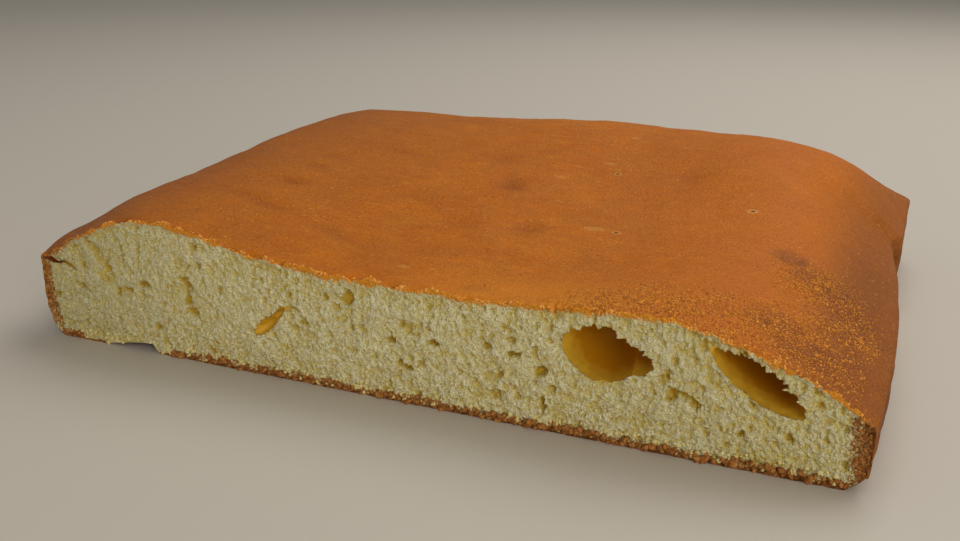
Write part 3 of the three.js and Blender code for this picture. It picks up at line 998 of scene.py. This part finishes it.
def tear_edge(piece):
    """The skin's edge at the cut is torn: it rises, sinks and steps back unevenly."""
    crumb, crust, _ = sides_of(piece)
    mm = in_cake(points_of(piece))
    for i in np.flatnonzero(crust & (mm[:, 1] < TEAR["deep"]) & (mm[:, 2] > TEAR["lowest"])):
        x, y, z = mm[i]
        wide, narrow = TEAR["coarse_size"], TEAR["medium_size"]
        coarse = noise.noise(Vector((x / wide, 7.7, z / wide)))
        medium = noise.noise(Vector((x / narrow, 2.2 + y / 2.5, z / narrow)))
        near = 1 - y / TEAR["deep"]
        mm[i, 2] += near * near * (TEAR["coarse"] * coarse + TEAR["medium"] * medium - TEAR["sunk"])
    for i in np.flatnonzero(crumb & crust & (mm[:, 1] < 1)):
        x, y, z = mm[i]
        wave = noise.noise(Vector((x / STEP_BACK["size"], 7.7, z / STEP_BACK["size"])))
        mm[i, 1] += STEP_BACK["mean"] + STEP_BACK["wave"] * wave
    mm[:, 2] = np.maximum(mm[:, 2], 0)
    set_points(piece, in_frame(mm))


# ---- what the finishes read from the mesh ------------------------------------
def store(piece, name, values):
    """One number for each point, which a finish reads by its name."""
    made = piece.data.attributes.new(name, "FLOAT", "POINT")
    made.data.foreach_set("value", np.asarray(values, dtype=np.float32))


def local_mean(x, z, values, cell):
    """The mean of the values round each point, from the cells of a square net."""
    column, row = ((x - x.min()) / cell).astype(int) + 1, ((z - z.min()) / cell).astype(int) + 1
    total = np.zeros((column.max() + 2, row.max() + 2))
    count = np.zeros_like(total)
    np.add.at(total, (column, row), values)
    np.add.at(count, (column, row), 1)
    wide = sum(np.roll(np.roll(total, i, 0), j, 1) for i in (-1, 0, 1) for j in (-1, 0, 1))
    many = sum(np.roll(np.roll(count, i, 0), j, 1) for i in (-1, 0, 1) for j in (-1, 0, 1))
    return wide[column, row] / np.maximum(many[column, row], 1)


def mark(piece, sink, walls):
    """Writes what the finishes read.
    sunk: how deep a point lies behind the cut and behind its neighbours. inside: 1 on a bubble's wall.
    deep: 1 far back in a bubble. skin: 0 at the crust's outside, 1 where the crumb begins. upper: 1 where the
    skin on the cut is the golden one of the top. hollow: how far a dimple sinks the crust. rim: 1 at the
    crown's rims. flank: 0 on the top, 1 down at the foot and under the base."""
    crumb, crust, normals = sides_of(piece)
    mm = in_cake(points_of(piece))
    x, y, z = mm.T
    behind = np.zeros(len(mm))
    flat = crumb & (walls < WALL["start"])
    behind[flat] = y[flat] - local_mean(x[flat], z[flat], y[flat], SUNK["cell"])
    store(piece, "sunk", clamp01(y / SUNK["full"] + SUNK["share"] * behind) * crumb)
    in_hole = HOLE["share"] * smooth((y - HOLE["start"]) / HOLE["run"])
    store(piece, "inside", np.maximum(smooth((walls - WALL["start"]) / WALL["run"]), in_hole) * crumb)
    store(piece, "deep", smooth((walls - WALL["dark"]) / WALL["dark_run"]) * crumb)
    dips = np.array([
        noise.noise(Vector((a / 6.5, 1.3, 0))) + 0.4 * noise.noise(Vector((a / 2.1, 4.1, 0))) for a in x
    ])
    top = (crown(x, np.maximum(y, 0)) - z) / (SKIN["top"] * (1 + 1.2 * dips))
    pale_base = smooth((x - PALE_BASE["start"]) / PALE_BASE["run"])
    pale_base *= smooth((PALE_BASE["end"] - x) / PALE_BASE["end_run"])
    base = z / (SKIN["base"] * (1 - PALE_BASE["share"] * pale_base))
    left = (x - LIP_X - 0.4 + FOOT_INSET * 0.1) / SKIN["left"]
    right = (right_side(np.maximum(y, 0)) - x) / SKIN["right"]
    store(piece, "skin", np.clip(np.minimum(np.minimum(top, base), np.minimum(left, right)), 0, 3))
    store(piece, "hollow", clamp01(sink / DEEP_DIMPLE))
    right_of_end = smooth((x - UPPER_SKIN["from_x"]) / UPPER_SKIN["x_run"])
    golden = UPPER_SKIN["left"] + (1 - UPPER_SKIN["left"]) * right_of_end
    golden = smooth((z - UPPER_SKIN["from_z"]) / UPPER_SKIN["run"]) * golden
    store(piece, "upper", golden * (top < np.minimum(left, right) * 1.5))
    from_right, from_back = (right_side(y) - x) * BROWN_RIM["right"], (DEPTH - y) * BROWN_RIM["back"]
    near_rim = np.minimum(np.minimum(x - LIP_X, from_right), from_back)
    rim = (1 - smooth((near_rim - BROWN_RIM["start"]) / BROWN_RIM["run"])) ** BROWN_RIM["power"]
    store(piece, "rim", np.clip(BROWN_RIM["share"] * rim, 0, 1))
    drop = crown(np.clip(x, LIP_X, None), np.clip(y, 0, DEPTH)) - z
    foot = FLANK["share"] + (1 - FLANK["share"]) * smooth(drop / FLANK["drop"])
    turned = smooth((FLANK["turned"] - normals[:, 2]) / FLANK["turn_run"])
    store(piece, "flank", np.clip(turned * foot, 0, 1))


def smooth_faces(piece):
    """Smooth all over, with a hard line where the crumb meets the skin."""
    work_on(piece)
    bpy.ops.object.shade_smooth()
    bpy.ops.object.mode_set(mode="EDIT")
    mesh = bmesh.from_edit_mesh(piece.data)
    bpy.ops.mesh.select_mode(type="EDGE")
    bpy.ops.mesh.select_all(action="DESELECT")
    for line in mesh.edges:
        line.select_set(len({f.material_index for f in line.link_faces}) > 1)
    bmesh.update_edit_mesh(piece.data)
    bpy.ops.mesh.mark_sharp()
    bpy.ops.mesh.select_mode(type="FACE")
    bpy.ops.object.mode_set(mode="OBJECT")


# ---- crumbs and grains -------------------------------------------------------
def crumb_shape(seed, fine):
    """One lumpy crumb of unit size, as points and faces."""
    select_nothing()
    bpy.ops.mesh.primitive_ico_sphere_add(subdivisions=fine, radius=1)
    lump = bpy.context.object
    co = points_of(lump)
    for i, p in enumerate(co):
        co[i] = p * (1 + 0.55 * noise.noise(Vector(p) * 1.3 + Vector((seed * 3.7, 0, 0))))
    faces = [tuple(p.vertices) for p in lump.data.polygons]
    bpy.data.objects.remove(lump)
    return co, faces


def crumbs(name, seed, places, finish, fine=2):
    """Joins turned and scaled copies of six crumb shapes into one piece. A place is x, y, z and a radius."""
    draw = random.Random(seed)
    shapes = [crumb_shape(k, fine) for k in range(6)]
    points, faces = [], []
    for x, y, z, radius in places:
        co, tris = shapes[draw.randrange(len(shapes))]
        tip = Matrix.Rotation(draw.uniform(0, math.tau), 3, "X")
        turn = tip @ Matrix.Rotation(draw.uniform(0, math.tau), 3, "Z")
        stretch = np.array([draw.uniform(0.7, 1.25) for _ in range(3)]) * radius
        moved = (co * stretch) @ np.array(turn).T + np.array([x, y, z])
        moved[:, 2] = np.maximum(moved[:, 2], 0.02)
        start = sum(len(p) for p in points)
        points.append(moved)
        faces += [tuple(i + start for i in t) for t in tris]
    mesh = bpy.data.meshes.new(name)
    mesh.from_pydata(in_frame(np.concatenate(points)).tolist(), [], faces)
    mesh.materials.append(finish)
    piece = bpy.data.objects.new(name, mesh)
    bpy.context.scene.collection.objects.link(piece)
    work_on(piece)
    bpy.ops.object.shade_smooth()
    return piece


def on_the_cut(piece, x, z):
    """How deep the surface lies at a place on the cut, or None beside the cake."""
    ray_start = Vector((x * MM + ORIGIN.x, ORIGIN.y - 0.02, z * MM))
    hit, place_m, _, _ = piece.ray_cast(ray_start, Vector((0, 1, 0)))
    return (place_m.y - ORIGIN.y) / MM if hit else None


def on_the_top(piece, x, y):
    """How high the surface lies at a place, seen from above, or None beside the cake."""
    ray_start = Vector((x * MM + ORIGIN.x, y * MM + ORIGIN.y, 0.2))
    hit, place_m, _, _ = piece.ray_cast(ray_start, Vector((0, 0, -1)))
    return place_m.z / MM if hit else None


def crumb_places(piece, seed):
    """Pale crumbs: over the lower crust, and here and there on the cut."""
    draw = random.Random(seed)
    rows = []
    for x_low, x_high, z_low, z_high, thin, thick, many in PALE_CRUMBS:
        for _ in range(many):
            x, z, radius = draw.uniform(x_low, x_high), draw.uniform(z_low, z_high), draw.uniform(thin, thick)
            y = on_the_cut(piece, x, z)
            if y is not None and y < 1.6 and z < cut_top(x) - 1.2:
                rows.append((x, y + 0.15 * radius, z, radius))
    return rows


def crust_crumb_places(piece, seed):
    """Browned crumbs: along the lower edge of the cut and at its two ends."""
    draw = random.Random(seed)
    rows = []
    for _ in range(FOOT_CRUMBS):
        x, z, radius = draw.uniform(2, 259), draw.uniform(0.2, 2.4), 0.3 + 0.75 * draw.random() ** 2
        y = on_the_cut(piece, x, z)
        if y is not None and y < 2 and not BARE_FOOT[0] < x < BARE_FOOT[1]:
            rows.append((x, y - draw.uniform(-0.2, 0.8) * radius, z, radius))
    for _ in range(END_CRUMBS):
        z = draw.uniform(1, 25)
        if draw.random() < 0.4:
            x, radius = LIP_X + 4.5 * (1 - z / 25) ** 2 + draw.uniform(0.6, 3.2), draw.uniform(0.25, 0.6)
        else:
            x, radius = SIDE_X - draw.uniform(0.8, 5.4), draw.uniform(0.2, 0.55)
        y = on_the_cut(piece, x, z)
        if y is not None and y < 2:
            rows.append((x, y + draw.uniform(0.1, 0.6) * radius, z, radius))
    return rows


def edge_crumb_places(piece, seed):
    """Golden crumbs of the skin along the torn upper edge."""
    draw = random.Random(seed)
    rows = []
    while len(rows) < EDGE_CRUMBS:
        x, y, radius = draw.uniform(-4, 261), draw.uniform(0.0, 1.0), 0.15 + 0.30 * draw.random() ** 1.5
        thick = 0.35 + 2.2 * noise.noise(Vector((x / 4.5, 9.1, 0)))
        if draw.random() > thick * (0.3 + 0.7 * (x > 16)):
            continue
        z = on_the_top(piece, x, y)
        if z is not None and z > cut_top(x) - 2:
            rows.append((x, max(y, 0.5 * radius), z - draw.uniform(0.0, 2.2) * radius, radius))
    return rows


def grain_places(piece, seed):
    """Baked grains that stand out of the skin, thickest in the rough zone over the right end of the cut."""
    draw = random.Random(seed)
    rows = []
    while len(rows) < GRAINS:
        x, y = draw.uniform(165, 262), draw.uniform(0.5, 78)
        near = max(
            1 - smooth((math.hypot(x - a, y - b) - radius) / border) for a, b, radius, border in GRAINY_ZONE
        )
        clustered = 0.5 + 0.9 * noise.noise(Vector((x / 4, y / 4, 1.5)))
        if draw.random() > near * clustered:
            continue
        z = on_the_top(piece, x, y)
        if z is not None:
            radius = draw.uniform(0.18, 0.34)
            rows.append((x, y, z - 0.15 * radius, radius))
    return rows


# ---- the cake ----------------------------------------------------------------
def make_cake():
    cake = rounded_body()
    open_bubbles(cake)
    crumb, crust, _ = sides_of(cake)
    walls = in_cake(points_of(cake))[:, 1] * (crumb & ~crust)
    press_crease(cake)
    sink = shape_crust(cake)
    shape_crumb(cake, walls)
    tear_edge(cake)
    mark(cake, sink, walls)
    smooth_faces(cake)
    cake.vertex_groups.clear()
    return cake


cake = make_cake()
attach(cake, "root")
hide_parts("cake")

pale = crumbs("clinging_crumbs", 5, crumb_places(cake, 21), loose_finish("loose_crumb", CREAM, STRAW))
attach(pale, "root")

browned = loose_finish("loose_crust", LOOSE_BROWN, BAND_DARK)
brown = crumbs("crust_crumbs", 6, crust_crumb_places(cake, 22), browned)
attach(brown, "root")

gilded = loose_finish("golden_crust", GOLDEN, GLINT)
golden = crumbs("edge_crumbs", 8, edge_crumb_places(cake, 24), gilded)
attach(golden, "root")

glittering = loose_finish("baked_grains", GLINT, BROWN)
grains = crumbs("crust_grains", 7, grain_places(cake, 23), glittering, fine=1)
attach(grains, "root")


# ---- floor, light and camera -------------------------------------------------
def make_floor():
    select_nothing()
    bpy.ops.mesh.primitive_plane_add(size=FLOOR_SIZE)
    floor = bpy.context.object
    floor.name = "floor"
    floor.data.materials.append(floor_finish())


def make_light(name, place_m, size, power, colour):
    """A soft rectangular light that looks at the middle of the cake's base."""
    lamp = bpy.data.lights.new(name, "AREA")
    lamp.shape = "RECTANGLE"
    lamp.size, lamp.size_y = size
    lamp.energy = power
    lamp.color = colour
    made = bpy.data.objects.new(name, lamp)
    made.location = place_m
    made.rotation_euler = (-Vector(place_m)).to_track_quat("-Z", "Y").to_euler()
    bpy.context.scene.collection.objects.link(made)


def make_world():
    world = bpy.data.worlds.new("soft_room")
    world.use_nodes = True
    back = world.node_tree.nodes["Background"]
    back.inputs["Color"].default_value = ROOM_COLOUR
    back.inputs["Strength"].default_value = ROOM_STRENGTH
    bpy.context.scene.world = world


def make_camera():
    """The eye is 134 mm above the table, about in line with the right side, and looks down."""
    lens = bpy.data.cameras.new("view")
    lens.sensor_width = FILM
    lens.lens = FILM * FOCAL_PX / PICTURE_WIDTH
    lens.clip_start, lens.clip_end = 0.02, 50
    made = bpy.data.objects.new("view", lens)
    made.location = ORIGIN + Vector(EYE_PLACE) * MM
    made.rotation_euler = (math.radians(90 - DOWN), 0, math.radians(TURN_LEFT))
    bpy.context.scene.collection.objects.link(made)
    bpy.context.scene.camera = made


make_floor()
make_world()
for row in LIGHTS:
    make_light(*row)
make_camera()
bpy.context.scene.view_settings.view_transform = "Standard"
